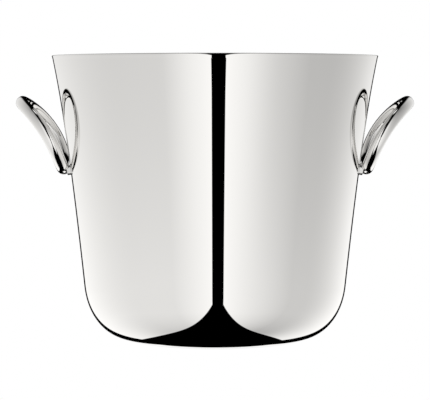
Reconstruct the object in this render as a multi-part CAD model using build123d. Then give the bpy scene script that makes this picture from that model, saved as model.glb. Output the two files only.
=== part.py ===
from build123d import *
import math
import os

# Champagne bucket: a spun steel bucket with a hoop handle screwed to each side. Each hoop
# sits on a saddle outside the wall, and a gasket and a plate take the screws inside it.
# Millimetres, +Z up, +X towards the right-hand hoop. The origin is on the bucket's
# axis, on the surface that it stands on.

# Bucket
rim_radius = 115.0
bucket_height = 199.3
sheet_thickness = 1.2
rim_rounding = 0.45  # radius on both edges of the rim, as a share of the sheet
wall_taper = 0.0985  # radius lost for each millimetre down the wall
rim_flare = 6.5  # how far the rim flares out past the straight taper
flare_depth = 60.0  # depth over which the flare dies away
corner_height = 37.5  # where the wall starts to turn into the base
corner_fullness = 2.28  # 2 is an ellipse, higher is squarer
base_radius = 59.7
base_rise = 2.5  # the middle of the base is pushed up, so it stands on a ring
rest_radius = 55.5

# Hoop handle: a band bent outwards in one arc, so it is steep at its root, flat at its tip
root_drop = 80.5  # from the rim down to the middle of the band at its root
root_angle = 80.0  # degrees above level
tip_angle = 36.0
hoop_width = 64.0  # across the middle of the band
hoop_length = 58.2  # along the bend, across the middle of the band
band_thickness = 8.6
band_width = 6.8
root_standoff = 0.35  # from the wall to the band's back face, before its seat is cut

# Saddle between the wall and a flat seat cut in the back of the band
saddle_width = 26.0
saddle_height = 6.6
saddle_corner = 2.0
saddle_thickness = 1.8
seat_gap = 0.05  # between faces that are clamped together
side_clearance = 0.3  # from the ends of the saddle to the ends of its seat

# Fixing inside the wall
screw_diameter = 4.0
screw_length = 10.0
screw_spacing = 17.0
tap_relief = 1.2  # tapped hole past the end of the screw
thread_clearance = 0.1
hole_clearance = 0.4
head_diameter = 7.6
head_height = 2.2
head_rounding = 0.75  # share of the head's height
end_chamfer = 0.5
socket_size = 2.5
socket_depth = 1.3
washer_diameter = 8.4
washer_thickness = 0.8
spot_clearance = 0.6
spot_depth = 0.35
plate_width = 34.0
plate_height = 14.0
plate_corner = 4.0
plate_thickness = 1.6
gasket_thickness = 1.0
gasket_margin = 0.8  # the gasket is this much smaller than the plate all round

root_height = bucket_height - root_drop
clearance_hole = screw_diameter + hole_clearance

# Points on each curve, and the turn either side of one that gives its direction
wall_steps = 7
corner_steps = 9
band_steps = 8
turn_step = 0.001


def smooth_line(points, start, end):
    """Spline through points, leaving and arriving along the unit vectors start and end."""
    ends = (Vector(start).normalized(), Vector(end).normalized())
    return Spline(points, tangents=ends, tangent_scalars=(1, 1))


def wall_radius(height):
    depth = bucket_height - height
    return rim_radius - wall_taper * depth - rim_flare * (1 - math.exp(-depth / flare_depth))


def wall_slope(height):
    """Radius gained for each millimetre up the wall."""
    depth = bucket_height - height
    return wall_taper + rim_flare / flare_depth * math.exp(-depth / flare_depth)


def corner_point(turn):
    """Outer surface from the wall (turn 0) to the flat of the base (turn 1)."""
    angle = turn * math.pi / 2
    reach = abs(math.cos(angle)) ** (2 / corner_fullness)
    drop = math.sin(angle) ** (2 / corner_fullness) * corner_height
    radius = base_radius + (wall_radius(corner_height) - base_radius) * reach
    return radius - wall_slope(corner_height) * drop * reach, corner_height - drop


def outline(inset):
    """Spline down the wall and round the corner, moved in from the outer surface by inset."""
    outer = []
    for step in range(wall_steps):
        height = bucket_height - (bucket_height - corner_height) * step / wall_steps
        outer.append((wall_radius(height), height, wall_slope(height)))
    points = [(rim_radius - inset, 0, bucket_height)]
    for radius, height, slope in outer[1:]:
        length = math.hypot(1, slope)
        points.append((radius - inset / length, 0, height + inset * slope / length))
    for step in range(corner_steps + 1):
        turn = step / corner_steps
        before = corner_point(max(turn - turn_step, 0))
        after = corner_point(min(turn + turn_step, 1))
        along = (after[0] - before[0], after[1] - before[1])
        length = math.hypot(*along)
        radius, height = corner_point(turn)
        points.append((radius + inset * along[1] / length, 0, height - inset * along[0] / length))
    top_slope = wall_slope(bucket_height)
    return smooth_line(points, (-top_slope, 0, -1), (-1, 0, 0))


def base_line(inset):
    """From the corner's end, flat to the resting ring, then up to the raised middle."""
    edge = outline(inset) @ 1
    ring = Vector(rest_radius, 0, edge.Z)
    middle = Vector(0, 0, edge.Z + base_rise)
    return Line(edge, ring) + smooth_line([ring, middle], (-1, 0, 0), (-1, 0, 0))


def turned(edges):
    return revolve(make_face(edges), Axis.Z)


def solid_within(inset):
    """Everything inside the bucket's outer surface moved in by inset."""
    side = outline(inset)
    base = base_line(inset)
    top = side @ 0
    axis_top = Vector(0, 0, top.Z)
    return turned(side + base + Line(base.edges()[-1] @ 1, axis_top) + Line(axis_top, top))


def bucket_shell():
    outer = outline(0)
    inner = outline(sheet_thickness)
    outer_base = base_line(0)
    inner_base = base_line(sheet_thickness)
    lip = Line(outer @ 0, inner @ 0)
    middle = Line(outer_base.edges()[-1] @ 1, inner_base.edges()[-1] @ 1)
    shell = turned(outer + outer_base + middle + inner_base + inner + lip)
    top_edges = shell.edges().sort_by(Axis.Z)[-3:]
    rim = [edge for edge in top_edges if edge.geom_type == GeomType.CIRCLE]
    return fillet(rim, sheet_thickness * rim_rounding)


# Frame of the screwed joint: on the wall's outer surface, z straight out of the wall
seat_slope = wall_slope(root_height)
seat = Plane(
    origin=(wall_radius(root_height), 0, root_height),
    x_dir=(0, 1, 0),
    z_dir=(1, 0, -seat_slope),
)


def band_point(turn, lift):
    """On the band's middle line, from root (turn 0) to tip (turn 1), lift above its face."""
    root = math.radians(root_angle)
    bend = root - math.radians(tip_angle)
    bend_radius = hoop_length / bend
    across = hoop_width / 2 * math.sin(math.pi * turn)
    along = hoop_length / 2 * (1 - math.cos(math.pi * turn))
    angle = root - bend * along / hoop_length
    start = Vector(wall_radius(root_height) + root_standoff + band_thickness / 2, 0, root_height)
    centre = start + Vector(math.sin(root), 0, -math.cos(root)) * bend_radius
    radius = bend_radius + lift
    return centre + Vector(-radius * math.sin(angle), across, radius * math.cos(angle))


def half_band():
    """The +Y half of the band, an oval section that keeps its long way across the bend."""
    turns = [step / band_steps for step in range(band_steps + 1)]
    away = (0, 1, 0)
    back = (0, -1, 0)
    path = smooth_line([band_point(turn, 0) for turn in turns], away, back)
    guide = smooth_line([band_point(turn, band_thickness) for turn in turns], away, back)
    start = Plane(origin=path @ 0, x_dir=(guide @ 0) - (path @ 0), z_dir=(0, 1, 0))
    section = start * Ellipse(band_thickness / 2, band_width / 2)
    return sweep(section, path=path, binormal=guide)


def screw_places():
    return [(-screw_spacing / 2, 0), (screw_spacing / 2, 0)]


def at_screws(piece):
    """Copies of a piece at both screws, its z straight out of the wall."""
    return [seat * Pos(x, y, 0) * piece for x, y in screw_places()]


def rod(diameter, start, end):
    length = end - start
    standing = (Align.CENTER, Align.CENTER, Align.MIN)
    return Pos(0, 0, start) * Cylinder(diameter / 2, length, align=standing)


def drilled(piece, diameter, end=screw_length):
    """Holes at both screws, from inside the bucket out to end."""
    for hole in at_screws(rod(diameter, -screw_length, end)):
        piece -= hole
    return piece


# Depths in from the wall's outer surface, at the seat
plate_back = sheet_thickness + gasket_thickness + 2 * seat_gap
plate_front = plate_back + plate_thickness
washer_seat = plate_front - spot_depth + seat_gap
head_seat = washer_seat + washer_thickness + seat_gap
screw_end = screw_length - head_seat  # out from the wall's outer surface


def handle_hoop():
    width = saddle_width + 2 * side_clearance
    seat_floor = saddle_thickness + seat_gap
    cutter = Box(width, hoop_length, seat_floor, align=(Align.CENTER, Align.CENTER, Align.MIN))
    tapped = rod(screw_diameter + thread_clearance, 0, screw_end + tap_relief)
    half = half_band() - seat * cutter - seat * Pos(screw_spacing / 2, 0, 0) * tapped
    return half + mirror(half, Plane.XZ)


def hoop_saddle():
    blank = RectangleRounded(saddle_width, saddle_height, saddle_corner)
    block = extrude(seat * blank, saddle_thickness) + extrude(seat * blank, -saddle_thickness)
    saddle = block - solid_within(-seat_gap)
    return drilled(saddle, clearance_hole)


def curved_plate(width, height, corner, back, front):
    """A plate that follows the wall, between two depths in from its outer surface."""
    blank = RectangleRounded(width, height, corner)
    block = extrude(seat * blank, screw_length, both=True)
    return (block & solid_within(back)) - solid_within(front)


def backing_plate():
    plate = curved_plate(plate_width, plate_height, plate_corner, plate_back, plate_front)
    spotted = drilled(plate, washer_diameter + spot_clearance, spot_depth - plate_front)
    return drilled(spotted, clearance_hole)


def gasket():
    width = plate_width - 2 * gasket_margin
    height = plate_height - 2 * gasket_margin
    back = sheet_thickness + seat_gap
    pad = curved_plate(width, height, plate_corner - gasket_margin, back, back + gasket_thickness)
    return drilled(pad, clearance_hole)


def washer():
    ring = Circle(washer_diameter / 2) - Circle(clearance_hole / 2)
    return Pos(0, 0, -washer_seat) * extrude(ring, -washer_thickness)


def screw():
    blank = rod(head_diameter, -head_height, 0)
    head = fillet(blank.edges().sort_by(Axis.Z)[0], head_height * head_rounding)
    socket = Pos(0, 0, -head_height) * extrude(
        RegularPolygon(socket_size / 2, 6, major_radius=False), socket_depth
    )
    shank = rod(screw_diameter, 0, screw_length)
    shank = chamfer(shank.edges().sort_by(Axis.Z)[-1], end_chamfer)
    return Pos(0, 0, -head_seat) * (head - socket + shank)


def write(name, solids):
    export_step(Compound(children=solids) if len(solids) > 1 else solids[0], f"parts/{name}.step")


def as_solids(pieces):
    return [solid for piece in pieces for solid in piece.solids()]


os.makedirs("parts", exist_ok=True)

# The wall is drilled on the right, mirrored, and drilled on the right again
one_side = drilled(bucket_shell(), clearance_hole)
write("bucket_shell", as_solids([drilled(mirror(one_side, Plane.YZ), clearance_hole)]))

right_side = {
    "handle_hoop": as_solids([handle_hoop()]),
    "hoop_saddle": as_solids([hoop_saddle()]),
    "gasket": as_solids([gasket()]),
    "backing_plate": as_solids([backing_plate()]),
    "sealing_washers": as_solids(at_screws(washer())),
    "hoop_screws": as_solids(at_screws(screw())),
}

for name, solids in right_side.items():
    write(f"{name}_right", solids)
    write(f"{name}_left", [mirror(solid, Plane.YZ) for solid in solids])
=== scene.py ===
import math

import bmesh
import bpy
from mathutils import Matrix, Vector


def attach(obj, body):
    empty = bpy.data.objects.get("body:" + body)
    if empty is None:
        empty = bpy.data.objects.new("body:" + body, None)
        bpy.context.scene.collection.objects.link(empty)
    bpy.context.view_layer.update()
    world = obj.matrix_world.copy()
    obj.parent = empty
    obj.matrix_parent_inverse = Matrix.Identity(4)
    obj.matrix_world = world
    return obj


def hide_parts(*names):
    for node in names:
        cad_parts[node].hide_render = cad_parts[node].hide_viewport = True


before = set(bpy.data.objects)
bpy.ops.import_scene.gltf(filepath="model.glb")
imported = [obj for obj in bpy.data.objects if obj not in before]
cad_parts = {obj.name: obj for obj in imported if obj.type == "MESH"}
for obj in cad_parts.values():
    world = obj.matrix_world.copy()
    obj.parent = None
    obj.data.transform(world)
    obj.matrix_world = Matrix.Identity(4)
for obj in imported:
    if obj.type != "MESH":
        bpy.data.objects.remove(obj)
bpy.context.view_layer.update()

MM = 0.001

# The bucket's outer surface, as in the CAD model
rim_radius = 115.0 * MM
bucket_height = 199.3 * MM
sheet_thickness = 1.2 * MM
rim_rounding = 0.45  # radius on both edges of the rim, as a share of the sheet
wall_taper = 0.0985
rim_flare = 6.5 * MM
flare_depth = 60.0 * MM
corner_height = 37.5 * MM
corner_fullness = 2.28
base_radius = 59.7 * MM
base_rise = 2.5 * MM
rest_radius = 55.5 * MM

# The hoops
root_height = bucket_height - 80.5 * MM
root_angle = math.radians(80.0)
tip_angle = math.radians(36.0)
hoop_width = 64.0 * MM
hoop_length = 58.2 * MM
band_thickness = 8.6 * MM
band_width = 6.8 * MM
root_standoff = 0.35 * MM
saddle_width = 26.0 * MM
side_clearance = 0.3 * MM
seat_floor = 1.85 * MM
screw_spacing = 17.0 * MM
tapped_radius = 2.05 * MM
tapped_depth = 6.75 * MM
wall_hole_radius = 2.2 * MM

# Mesh density
turn_steps = 288
wall_steps = 90
corner_steps = 60
lip_steps = 8
base_steps = 24
band_steps = 220
section_steps = 56
turn_step = 0.001  # either side of a corner point, for its direction


def wall_radius(height):
    depth = bucket_height - height
    return rim_radius - wall_taper * depth - rim_flare * (1 - math.exp(-depth / flare_depth))


def wall_slope(height):
    depth = bucket_height - height
    return wall_taper + rim_flare / flare_depth * math.exp(-depth / flare_depth)


def corner_point(turn):
    angle = turn * math.pi / 2
    reach = abs(math.cos(angle)) ** (2 / corner_fullness)
    drop = math.sin(angle) ** (2 / corner_fullness) * corner_height
    radius = base_radius + (wall_radius(corner_height) - base_radius) * reach
    return Vector((radius - wall_slope(corner_height) * drop * reach, corner_height - drop))


def moved_in(point, along, inset):
    return point + Vector((along.y, -along.x)).normalized() * inset


def side_points(inset):
    """Radius and height down the wall and round the corner, inset from the outer surface."""
    points = []
    for step in range(wall_steps):
        height = bucket_height - (bucket_height - corner_height) * step / wall_steps
        along = Vector((-wall_slope(height), -1))
        points.append(moved_in(Vector((wall_radius(height), height)), along, inset))
    for step in range(corner_steps + 1):
        turn = step / corner_steps
        before = corner_point(max(turn - turn_step, 0))
        after = corner_point(min(turn + turn_step, 1))
        points.append(moved_in(corner_point(turn), after - before, inset))
    return points


def base_points(inset):
    """From the resting ring to the raised middle."""
    points = []
    for step in range(base_steps + 1):
        share = step / base_steps
        rise = base_rise * share * share * (3 - 2 * share)
        points.append(Vector((rest_radius * (1 - share), rise + inset)))
    return points


def lip_points():
    """Round the rim, from the inner face to the outer face."""
    radius = rim_rounding * sheet_thickness
    top = bucket_height - radius
    outer = rim_radius - radius
    inner = rim_radius - sheet_thickness + radius
    points = []
    for centre, start in ((inner, math.pi), (outer, math.pi / 2)):
        for step in range(lip_steps + 1):
            angle = start - step / lip_steps * math.pi / 2
            points.append(
                Vector((centre + radius * math.cos(angle), top + radius * math.sin(angle)))
            )
    return points


def bucket_profile():
    """Closed on the axis: up the inside from the middle, over the rim, down the outside."""
    below_lip = bucket_height - 1.5 * rim_rounding * sheet_thickness
    outside = [point for point in side_points(0) if point.y < below_lip]
    inside = [point for point in side_points(sheet_thickness) if point.y < below_lip]
    up = list(reversed(inside + base_points(sheet_thickness)))
    return up + lip_points() + outside + base_points(0)


def new_object(name, data):
    piece = bpy.data.objects.new(name, data)
    bpy.context.scene.collection.objects.link(piece)
    return piece


def lathe(name, profile, steps):
    shape = bmesh.new()
    rings = []
    for point in profile:
        if point.x < 1e-6:
            rings.append([shape.verts.new((0, 0, point.y))])
            continue
        ring = []
        for step in range(steps):
            angle = 2 * math.pi * step / steps
            ring.append(shape.verts.new((point.x * math.cos(angle), point.x * math.sin(angle), point.y)))
        rings.append(ring)
    for lower, upper in zip(rings, rings[1:]):
        for step in range(steps):
            after = (step + 1) % steps
            if len(lower) == 1:
                shape.faces.new((lower[0], upper[after], upper[step]))
            elif len(upper) == 1:
                shape.faces.new((lower[step], lower[after], upper[0]))
            else:
                shape.faces.new((lower[step], lower[after], upper[after], upper[step]))
    bmesh.ops.recalc_face_normals(shape, faces=shape.faces)
    mesh = bpy.data.meshes.new(name)
    shape.to_mesh(mesh)
    shape.free()
    return new_object(name, mesh)


def band_frame(turn):
    """The band's middle line at turn, from 0 at the root to 1 at the tip and back to 2."""
    angle = math.pi * turn
    across = hoop_width / 2 * math.sin(angle)
    along = hoop_length / 2 * (1 - math.cos(angle))
    bend_radius = hoop_length / (root_angle - tip_angle)
    lean = root_angle - (root_angle - tip_angle) * along / hoop_length
    start = Vector((wall_radius(root_height) + root_standoff + band_thickness / 2, 0, root_height))
    centre = start + Vector((math.sin(root_angle), 0, -math.cos(root_angle))) * bend_radius
    outward = Vector((-math.sin(lean), 0, math.cos(lean)))
    up_slope = Vector((math.cos(lean), 0, math.sin(lean)))
    speed_across = hoop_width / 2 * math.cos(angle)
    speed_along = hoop_length / 2 * math.sin(angle)
    tangent = (Vector((0, speed_across, 0)) + up_slope * speed_along).normalized()
    middle = centre + outward * bend_radius + Vector((0, across, 0))
    return middle, outward, tangent.cross(outward)


def hoop_mesh(name):
    shape = bmesh.new()
    rings = []
    for step in range(band_steps):
        middle, outward, sideways = band_frame(2 * step / band_steps)
        ring = []
        for part in range(section_steps):
            angle = 2 * math.pi * part / section_steps
            offset = outward * math.cos(angle) * band_thickness / 2
            offset += sideways * math.sin(angle) * band_width / 2
            ring.append(shape.verts.new(middle + offset))
        rings.append(ring)
    for ring, after in zip(rings, rings[1:] + rings[:1]):
        for part in range(section_steps):
            other = (part + 1) % section_steps
            shape.faces.new((ring[part], ring[other], after[other], after[part]))
    bmesh.ops.recalc_face_normals(shape, faces=shape.faces)
    mesh = bpy.data.meshes.new(name)
    shape.to_mesh(mesh)
    shape.free()
    return mesh


def seat_matrix():
    """On the wall's outer surface at the root: x along +Y, z straight out of the wall."""
    out = Vector((1, 0, -wall_slope(root_height))).normalized()
    across = Vector((0, 1, 0))
    up = out.cross(across)
    place = Matrix((across, up, out)).transposed().to_4x4()
    place.translation = Vector((wall_radius(root_height), 0, root_height))
    return place


def rod(radius, start, end, centre_x):
    shape = bmesh.new()
    place = Matrix.Translation((centre_x, 0, (start + end) / 2))
    bmesh.ops.create_cone(
        shape, segments=48, radius1=radius, radius2=radius, depth=end - start, cap_ends=True, matrix=place
    )
    shape.transform(seat_matrix())
    return shape


def seat_block():
    shape = bmesh.new()
    size = Matrix.Diagonal((saddle_width + 2 * side_clearance, hoop_length, 2 * seat_floor, 1))
    bmesh.ops.create_cube(shape, size=1, matrix=size)
    shape.transform(seat_matrix())
    return shape


def cut(piece, cutters):
    """Takes the cutters out of the piece's mesh."""
    tools = []
    for number, shape in enumerate(cutters):
        mesh = bpy.data.meshes.new(f"cutter_{number}")
        shape.to_mesh(mesh)
        shape.free()
        tool = new_object(mesh.name, mesh)
        tools.append(tool)
        modifier = piece.modifiers.new("cut", "BOOLEAN")
        modifier.operation = "DIFFERENCE"
        modifier.solver = "EXACT"
        modifier.object = tool
    bpy.context.view_layer.update()
    evaluated = piece.evaluated_get(bpy.context.evaluated_depsgraph_get())
    mesh = bpy.data.meshes.new_from_object(evaluated)
    piece.modifiers.clear()
    piece.data = mesh
    for tool in tools:
        bpy.data.objects.remove(tool)


def mirrored(shape):
    shape.transform(Matrix.Diagonal((-1, 1, 1, 1)))
    bmesh.ops.reverse_faces(shape, faces=shape.faces)
    return shape


def smooth(piece):
    mesh = piece.data
    mesh.polygons.foreach_set("use_smooth", [True] * len(mesh.polygons))
    mesh.set_sharp_from_angle(angle=math.radians(40))


screw_places = (-screw_spacing / 2, screw_spacing / 2)

bucket = lathe("bucket", bucket_profile(), turn_steps)
wall_span = 6 * MM
holes = [rod(wall_hole_radius, -wall_span, wall_span, x) for x in screw_places]
holes += [mirrored(rod(wall_hole_radius, -wall_span, wall_span, x)) for x in screw_places]
cut(bucket, holes)
smooth(bucket)
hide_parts("bucket_shell")
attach(bucket, "root")

hoop_right = new_object("hoop_right", hoop_mesh("hoop_right"))
tapped = [rod(tapped_radius, -seat_floor, tapped_depth, x) for x in screw_places]
cut(hoop_right, [seat_block()] + tapped)
left_mesh = hoop_right.data.copy()
left_mesh.transform(Matrix.Diagonal((-1, 1, 1, 1)))
left_mesh.flip_normals()
hoop_left = new_object("hoop_left", left_mesh)
for piece, node in ((hoop_right, "handle_hoop_right"), (hoop_left, "handle_hoop_left")):
    smooth(piece)
    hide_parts(node)
    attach(piece, "root")


# Materials
class Nodes:
    """A node tree with short calls for the nodes used here."""

    def __init__(self, tree):
        self.tree = tree
        tree.nodes.clear()

    def add(self, kind, **values):
        node = self.tree.nodes.new(kind)
        for name, value in values.items():
            setattr(node, name, value)
        return node

    def put(self, value, socket):
        if isinstance(value, bpy.types.NodeSocket):
            self.tree.links.new(value, socket)
        else:
            socket.default_value = value

    def math(self, operation, *values, clamp=False):
        node = self.add("ShaderNodeMath", operation=operation, use_clamp=clamp)
        for value, socket in zip(values, node.inputs):
            self.put(value, socket)
        return node.outputs[0]

    def length(self, x, y):
        return self.math("SQRT", self.math("ADD", self.math("POWER", x, 2.0), self.math("POWER", y, 2.0)))

    def vector(self, x, y, z):
        node = self.add("ShaderNodeCombineXYZ")
        for value, socket in zip((x, y, z), node.inputs):
            self.put(value, socket)
        return node.outputs[0]

    def split(self, vector):
        node = self.add("ShaderNodeSeparateXYZ")
        self.put(vector, node.inputs[0])
        return node.outputs

    def place(self):
        return self.add("ShaderNodeTexCoord").outputs["Object"]

    def fade(self, value, start, end, low=0.0, high=1.0, smooth=True):
        kind = "SMOOTHSTEP" if smooth else "LINEAR"
        node = self.add("ShaderNodeMapRange", interpolation_type=kind)
        sockets = ("Value", "From Min", "From Max", "To Min", "To Max")
        for name, number in zip(sockets, (value, start, end, low, high)):
            self.put(number, node.inputs[name])
        return node.outputs[0]

    def noise(self, vector, scale, detail=3.0):
        node = self.add("ShaderNodeTexNoise")
        self.put(vector, node.inputs["Vector"])
        node.inputs["Scale"].default_value = scale
        node.inputs["Detail"].default_value = detail
        return node.outputs["Fac"]

    def mix(self, share, first, second):
        """Between two numbers."""
        node = self.add("ShaderNodeMix", data_type="FLOAT")
        for value, socket in zip((share, first, second), (node.inputs[0], node.inputs[2], node.inputs[3])):
            self.put(value, socket)
        return node.outputs[0]

    def blend(self, share, first, second):
        """Between two colours."""
        node = self.add("ShaderNodeMix", data_type="RGBA")
        for value, socket in zip((share, first, second), (node.inputs[0], node.inputs[6], node.inputs[7])):
            self.put(value, socket)
        return node.outputs[2]


def new_material(name):
    material = bpy.data.materials.new(name)
    material.use_nodes = True
    return material, Nodes(material.node_tree)


def principled(nodes, colour, metallic, roughness, height=None, depth=0.0):
    shader = nodes.add("ShaderNodeBsdfPrincipled")
    nodes.put(colour, shader.inputs["Base Color"])
    shader.inputs["Metallic"].default_value = metallic
    nodes.put(roughness, shader.inputs["Roughness"])
    if height is not None:
        bump = nodes.add("ShaderNodeBump")
        bump.inputs["Distance"].default_value = depth
        nodes.put(height, bump.inputs["Height"])
        nodes.put(bump.outputs[0], shader.inputs["Normal"])
    output = nodes.add("ShaderNodeOutputMaterial")
    nodes.put(shader.outputs[0], output.inputs[0])
    return shader


# Colours are linear red, green, blue and alpha. Noise scales are features to the metre.
steel_colour = (0.90, 0.893, 0.880, 1)
dull_steel = (0.74, 0.733, 0.72, 1)
satin_dark = (0.84, 0.835, 0.825, 1)
satin_light = (0.89, 0.885, 0.875, 1)
satin_share = 0.7  # the rest scatters light, as blasted steel does
brushed_dark = (0.70, 0.695, 0.685, 1)
brushed_light = (0.80, 0.795, 0.785, 1)
screw_clean = (0.78, 0.77, 0.75, 1)
screw_grime = (0.62, 0.61, 0.59, 1)
silicone_black = (0.030, 0.030, 0.032, 1)
silicone_dust = (0.075, 0.073, 0.070, 1)
nylon_clean = (0.78, 0.76, 0.71, 1)
nylon_stain = (0.66, 0.63, 0.56, 1)


def round_axis(nodes, place, stretch):
    """Coordinates that turn about the bucket's axis, drawn out along the turn."""
    x, y, z = nodes.split(place)
    turn = nodes.math("MULTIPLY", nodes.math("ARCTAN2", y, x), stretch)
    return nodes.vector(turn, nodes.length(x, y), z)


def scratches(nodes, place, scale, keep):
    """Sparse fine marks: 1 in a mark and 0 between them."""
    warped = nodes.noise(place, scale, 4.0)
    return nodes.fade(nodes.math("ABSOLUTE", nodes.math("SUBTRACT", warped, 0.5)), keep, 0.0)


def polished_outside():
    """Mirror finish with faint buffing lines, a worn rim and a scuffed resting ring."""
    material, nodes = new_material("polished_steel")
    place = nodes.place()
    x, y, z = nodes.split(place)
    radius = nodes.length(x, y)
    smudge = nodes.fade(nodes.noise(place, 26.0, 4.0), 0.42, 0.75)
    lines = nodes.noise(round_axis(nodes, place, 0.004), 2600.0, 2.0)
    fine = nodes.math("MULTIPLY_ADD", lines, 0.004, 0.006)
    roughness = nodes.math("MULTIPLY_ADD", smudge, 0.010, fine)
    rim = nodes.fade(z, bucket_height - 0.5 * MM, bucket_height - 0.1 * MM)
    rubbed = nodes.fade(nodes.noise(place, 420.0, 3.0), 0.35, 0.7)
    roughness = nodes.mix(rim, roughness, nodes.math("MULTIPLY_ADD", rubbed, 0.10, 0.08))
    low = nodes.fade(z, 0.7 * MM, 0.1 * MM)
    ring = nodes.math("MULTIPLY", low, nodes.fade(radius, rest_radius - 3 * MM, rest_radius))
    marks = scratches(nodes, place, 900.0, 0.03)
    scuffed = nodes.math("MULTIPLY_ADD", marks, 0.25, 0.30)
    roughness = nodes.mix(ring, roughness, scuffed)
    colour = nodes.blend(ring, steel_colour, dull_steel)
    height = nodes.math("MULTIPLY", marks, ring)
    principled(nodes, colour, 1.0, roughness, height, 0.02 * MM)
    return material


def satin_inside():
    """The inside: fine lines round the axis, and faint rubbing marks."""
    material, nodes = new_material("satin_inside")
    place = nodes.place()
    lines = nodes.noise(round_axis(nodes, place, 0.003), 1500.0, 3.0)
    cloud = nodes.noise(place, 22.0, 3.0)
    marks = scratches(nodes, place, 140.0, 0.006)
    roughness = nodes.math("MULTIPLY_ADD", lines, 0.10, 0.20)
    roughness = nodes.math("MULTIPLY_ADD", cloud, 0.06, roughness)
    roughness = nodes.math("MULTIPLY_ADD", marks, -0.05, roughness)
    colour = nodes.blend(nodes.fade(cloud, 0.3, 0.7), satin_dark, satin_light)
    height = nodes.math("SUBTRACT", lines, nodes.math("MULTIPLY", marks, 0.6))
    principled(nodes, colour, satin_share, roughness, height, 0.004 * MM)
    return material


def polished_hoop():
    """Mirror finish with hand marks and a little wear."""
    material, nodes = new_material("polished_hoop")
    place = nodes.place()
    smudge = nodes.fade(nodes.noise(place, 70.0, 4.0), 0.42, 0.75)
    marks = scratches(nodes, place, 620.0, 0.010)
    roughness = nodes.math("MULTIPLY_ADD", smudge, 0.014, 0.008)
    roughness = nodes.math("MULTIPLY_ADD", marks, 0.05, roughness)
    colour = nodes.blend(nodes.math("MULTIPLY", marks, 0.5), steel_colour, dull_steel)
    principled(nodes, colour, 1.0, roughness)
    return material


def brushed_steel(name, along, roughness_low, roughness_high):
    """Straight brushing, drawn out along one axis."""
    material, nodes = new_material(name)
    place = nodes.place()
    stretched = nodes.add("ShaderNodeVectorMath", operation="MULTIPLY")
    nodes.put(place, stretched.inputs[0])
    stretched.inputs[1].default_value = along
    lines = nodes.noise(stretched.outputs[0], 2400.0, 3.0)
    cloud = nodes.noise(place, 180.0, 3.0)
    roughness = nodes.fade(lines, 0.3, 0.7, roughness_low, roughness_high)
    colour = nodes.blend(nodes.fade(cloud, 0.35, 0.65), brushed_dark, brushed_light)
    principled(nodes, colour, 1.0, roughness, lines, 0.006 * MM)
    return material


def turned_screw():
    """Rings left by turning, round each screw's own axis."""
    material, nodes = new_material("screw_steel")
    place = nodes.place()
    x, y, z = nodes.split(place)
    side = nodes.math("SUBTRACT", nodes.math("ABSOLUTE", x), wall_radius(root_height))
    across = nodes.math("SUBTRACT", nodes.math("ABSOLUTE", y), screw_spacing / 2)
    up = nodes.math("SUBTRACT", z, root_height)
    lean = math.atan(wall_slope(root_height))
    from_side = nodes.math("MULTIPLY", side, math.sin(lean))
    upward = nodes.math("MULTIPLY_ADD", up, math.cos(lean), from_side)
    distance = nodes.length(across, upward)
    rings = nodes.noise(nodes.vector(distance, 0.0, 0.0), 9000.0, 2.0)
    grime = nodes.noise(place, 900.0, 3.0)
    roughness = nodes.fade(rings, 0.3, 0.7, 0.12, 0.26)
    colour = nodes.blend(nodes.fade(grime, 0.4, 0.7), screw_clean, screw_grime)
    principled(nodes, colour, 1.0, roughness, rings, 0.003 * MM)
    return material


def silicone():
    material, nodes = new_material("silicone")
    place = nodes.place()
    grain = nodes.noise(place, 2200.0, 3.0)
    dust = nodes.fade(nodes.noise(place, 320.0, 4.0), 0.5, 0.75)
    colour = nodes.blend(dust, silicone_black, silicone_dust)
    roughness = nodes.fade(grain, 0.3, 0.7, 0.45, 0.62)
    principled(nodes, colour, 0.0, roughness, grain, 0.04 * MM)
    return material


def nylon():
    material, nodes = new_material("nylon")
    place = nodes.place()
    grain = nodes.noise(place, 1800.0, 3.0)
    stain = nodes.fade(nodes.noise(place, 260.0, 4.0), 0.4, 0.75)
    colour = nodes.blend(stain, nylon_clean, nylon_stain)
    roughness = nodes.fade(grain, 0.3, 0.7, 0.36, 0.50)
    shader = principled(nodes, colour, 0.0, roughness, grain, 0.02 * MM)
    shader.inputs["Subsurface Weight"].default_value = 0.15
    shader.inputs["Subsurface Scale"].default_value = 0.6 * MM
    return material


def assign(piece, material):
    if not piece.material_slots:
        piece.data.materials.append(material)
    for slot in piece.material_slots:
        slot.material = material


def line_inside(piece, material):
    """The second material goes on the faces that look at the axis or up from the base."""
    piece.data.materials.append(material)
    top = bucket_height - rim_rounding * sheet_thickness
    for polygon in piece.data.polygons:
        centre, normal = polygon.center, polygon.normal
        flat = Vector((centre.x, centre.y, 0))
        looks_in = flat.length > 1e-6 and normal.dot(flat.normalized()) < -0.02 and normal.z > -0.5
        looks_up = normal.z > 0.3
        if centre.z < top and (looks_in or looks_up):
            polygon.material_index = 1


node_materials = {
    "hoop_saddle": brushed_steel("saddle_steel", (1.0, 0.04, 1.0), 0.10, 0.20),
    "backing_plate": brushed_steel("satin_steel", (1.0, 0.02, 1.0), 0.24, 0.38),
    "hoop_screws": turned_screw(),
    "gasket": silicone(),
    "sealing_washers": nylon(),
}

assign(bucket, polished_outside())
line_inside(bucket, satin_inside())
hoop_steel = polished_hoop()
for piece in (hoop_right, hoop_left):
    assign(piece, hoop_steel)
for name, material in node_materials.items():
    for side in ("left", "right"):
        assign(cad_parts[f"{name}_{side}"], material)


# Studio: the steel sees a round tent of pale cloth with a slit in its front for the camera. The
# cloth is dimmer at its sides, most on the right, and dimmer higher up and lower down. It hangs
# deepest beside the bucket and is highest there too, and past its edges and in a seam at the back
# it is dark. Azimuths are degrees round from the front, positive towards +X. Heights are in
# metres, and tones are shares of white as the steel shows them.
tent_radius = 0.4
tent_low = -1.0
tent_high = 1.25
floor_level = -0.6 * MM

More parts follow.
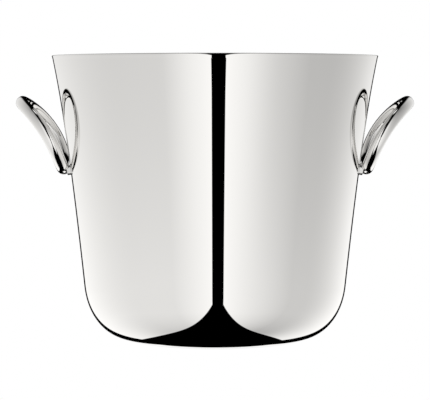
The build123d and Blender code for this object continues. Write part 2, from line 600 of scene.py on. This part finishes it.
bright_tone = 0.985
left_dimming = 0.11
right_dimming = 0.20
high_dimming = 0.26
low_dimming = 0.09
roof_tone = 0.94
screen_gamma = 2.2

# Azimuths where a side's dimming starts, is whole, begins to end, and ends
left_side = (0, -32, -62, -145)
right_side = (5, 62, 75, 145)

# Start and end of each change, in degrees off the slit or round from the front, or in metres up
high_heights = (-0.05, 0.6)
high_azimuths = (14, 40)
low_heights = (-0.2, -0.7)
level_azimuths = (90, 140)
top_front = (3, 50)
top_back = (160, 105)
top_softness = (1.35, 0.7)  # as shares of the upper edge's height
edge_softness = 0.006

slit_centre = 2.2
slit_half = 4.3
slit_flare = 5.2  # how much wider each half is at the slit's soft top
slit_flare_start = 0.07
slit_top = 0.16
slit_soft_start = 0.1
slit_softness = 0.12  # degrees, below the soft top
slit_top_softness = 5.0

cloth_depth = 0.82
back_depth = 0.25
deepest_azimuth = 80.0
depth_power = 0.85
cloth_top_near = 0.10
cloth_top_far = 1.0
seam_near = 147.0
seam_far = 166.0


def tone(share):
    """Light that the steel shows as this share of white."""
    linear = share / 12.92 if share <= 0.04045 else ((share + 0.055) / 1.055) ** 2.4
    return linear / steel_colour[1]


def off_slit(nodes, azimuth):
    return nodes.math("ABSOLUTE", nodes.math("SUBTRACT", azimuth, slit_centre))


def hump(nodes, azimuth, start, whole, end_start, end):
    """1 from whole to end_start, and 0 before start and after end."""
    rise = nodes.fade(azimuth, start, whole, smooth=False)
    return nodes.math("MULTIPLY", rise, nodes.fade(azimuth, end, end_start))


def cloth_tone(nodes, azimuth, height):
    left = nodes.math("MULTIPLY", hump(nodes, azimuth, *left_side), left_dimming)
    right = nodes.math("MULTIPLY", hump(nodes, azimuth, *right_side), right_dimming)
    high = nodes.fade(height, *high_heights, 0.0, high_dimming, smooth=False)
    high = nodes.math("MULTIPLY", high, nodes.fade(off_slit(nodes, azimuth), *high_azimuths))
    low = nodes.fade(height, *low_heights, 0.0, low_dimming, smooth=False)
    dimming = nodes.math("ADD", nodes.math("ADD", left, right), nodes.math("ADD", high, low))
    return nodes.math("SUBTRACT", bright_tone, dimming)


def lower_edge(nodes, off):
    """A sagging curve, deepest beside the bucket, and level at the back."""
    share = nodes.math("POWER", nodes.math("DIVIDE", off, deepest_azimuth), depth_power)
    sag = nodes.math("SINE", nodes.math("MULTIPLY", share, math.pi / 2))
    level = nodes.fade(off, *level_azimuths, 0.0, -back_depth)
    return nodes.math("MINIMUM", nodes.math("MULTIPLY", sag, -cloth_depth), level)


def upper_edge(nodes, azimuth, off):
    front = nodes.fade(off, *top_front, smooth=False)
    back = nodes.fade(nodes.math("ABSOLUTE", azimuth), *top_back, smooth=False)
    rise = nodes.math("MULTIPLY", front, back)
    return nodes.math("MULTIPLY_ADD", rise, cloth_top_far - cloth_top_near, cloth_top_near)


def cloth_share(nodes, azimuth, height):
    """1 on the lit cloth, 0 in the slit, past the cloth's edges and in the seam."""
    off = off_slit(nodes, azimuth)
    half = nodes.fade(height, slit_flare_start, slit_top, slit_half, slit_half + slit_flare)
    softness = nodes.fade(height, slit_soft_start, slit_top, slit_softness, slit_top_softness)
    past_slit = nodes.math("DIVIDE", nodes.math("SUBTRACT", off, half), softness)
    share = nodes.fade(past_slit, -1.0, 1.0)

    above = nodes.math("SUBTRACT", height, lower_edge(nodes, off))
    share = nodes.math("MULTIPLY", share, nodes.fade(above, -edge_softness, edge_softness))
    up = nodes.math("DIVIDE", height, upper_edge(nodes, azimuth, off))
    below_rim = nodes.fade(height, slit_top + 0.01, slit_top - 0.01)
    under = nodes.math("MAXIMUM", nodes.fade(up, *top_softness), below_rim)
    share = nodes.math("MULTIPLY", share, under)

    turned = nodes.math("ABSOLUTE", azimuth)
    before_seam = nodes.fade(turned, seam_near, seam_near - 1)
    past_seam = nodes.fade(turned, seam_far, seam_far + 1)
    return nodes.math("MULTIPLY", share, nodes.math("ADD", before_seam, past_seam))


def tent_light(nodes):
    x, y, height = nodes.split(nodes.place())
    azimuth = nodes.math("ARCTAN2", x, nodes.math("MULTIPLY", y, -1.0))
    azimuth = nodes.math("MULTIPLY", azimuth, 180 / math.pi)
    shown = nodes.math("POWER", cloth_tone(nodes, azimuth, height), screen_gamma)
    light = nodes.math("MULTIPLY", shown, cloth_share(nodes, azimuth, height))
    return nodes.math("DIVIDE", light, steel_colour[1])


def glow(nodes, strength, colour=(1.0, 0.995, 0.985, 1)):
    shader = nodes.add("ShaderNodeEmission")
    shader.inputs["Color"].default_value = colour
    nodes.put(strength, shader.inputs["Strength"])
    return shader.outputs[0]


def tent_material():
    material, nodes = new_material("tent")
    output = nodes.add("ShaderNodeOutputMaterial")
    nodes.put(glow(nodes, tent_light(nodes)), output.inputs[0])
    return material


def roof_material():
    """A pale patch high overhead, which the inside of the bucket reflects."""
    material, nodes = new_material("roof")
    x, y, _ = nodes.split(nodes.place())
    patch = nodes.fade(nodes.length(x, y), 0.22, 0.08)
    output = nodes.add("ShaderNodeOutputMaterial")
    nodes.put(glow(nodes, nodes.math("MULTIPLY", patch, tone(roof_tone))), output.inputs[0])
    return material


def only_reflected(piece):
    piece.visible_camera = False
    piece.visible_diffuse = False
    piece.visible_shadow = False


def tent():
    piece = lathe("tent", [Vector((tent_radius, tent_low)), Vector((tent_radius, tent_high))], 256)
    assign(piece, tent_material())
    only_reflected(piece)
    roof = lathe("roof", [Vector((0.0, tent_high)), Vector((tent_radius, tent_high))], 128)
    assign(roof, roof_material())
    only_reflected(roof)


def pale_floor():
    """White, with a soft shade where the bucket stands, and clear from below."""
    size = 30.0
    mesh = bpy.data.meshes.new("floor")
    around = ((-size, -size), (size, -size), (size, size), (-size, size))
    corners = [(x, y, floor_level) for x, y in around]
    mesh.from_pydata(corners, [], [(0, 1, 2, 3)])
    floor = new_object("floor", mesh)
    material, nodes = new_material("pale_floor")
    x, y, _ = nodes.split(nodes.place())
    clear = nodes.fade(nodes.length(x, y), 0.052, 0.066, 0.55, 1.0)
    light = glow(nodes, clear, (1, 1, 1, 1))
    through = nodes.add("ShaderNodeBsdfTransparent")
    side = nodes.add("ShaderNodeMixShader")
    nodes.put(nodes.add("ShaderNodeNewGeometry").outputs["Backfacing"], side.inputs[0])
    nodes.put(light, side.inputs[1])
    nodes.put(through.outputs[0], side.inputs[2])
    output = nodes.add("ShaderNodeOutputMaterial")
    nodes.put(side.outputs[0], output.inputs[0])
    assign(floor, material)
    floor.visible_glossy = False
    floor.visible_shadow = False


def studio_world():
    """White to the camera, soft light on what isn't metal, and dark beyond the tent."""
    world = bpy.data.worlds.new("studio")
    bpy.context.scene.world = world
    world.use_nodes = True
    nodes = Nodes(world.node_tree)
    path = nodes.add("ShaderNodeLightPath")
    strength = nodes.math("ADD", path.outputs["Is Camera Ray"], path.outputs["Is Diffuse Ray"])
    background = nodes.add("ShaderNodeBackground")
    background.inputs["Color"].default_value = (1, 1, 1, 1)
    nodes.put(strength, background.inputs["Strength"])
    output = nodes.add("ShaderNodeOutputWorld")
    nodes.put(background.outputs[0], output.inputs[0])


camera_height = 177.7 * MM
camera_distance = 1.3
camera_pitch = math.radians(3.549)
focal_length = 153.41


def camera():
    data = bpy.data.cameras.new("camera")
    data.sensor_width = 36.0
    data.lens = focal_length
    data.clip_end = 100.0
    piece = new_object("camera", data)
    piece.location = (0, -camera_distance, camera_height)
    piece.rotation_euler = (math.pi / 2 - camera_pitch, 0, 0)
    bpy.context.scene.camera = piece


tent()
pale_floor()
studio_world()
camera()
bpy.context.scene.view_settings.view_transform = "Standard"
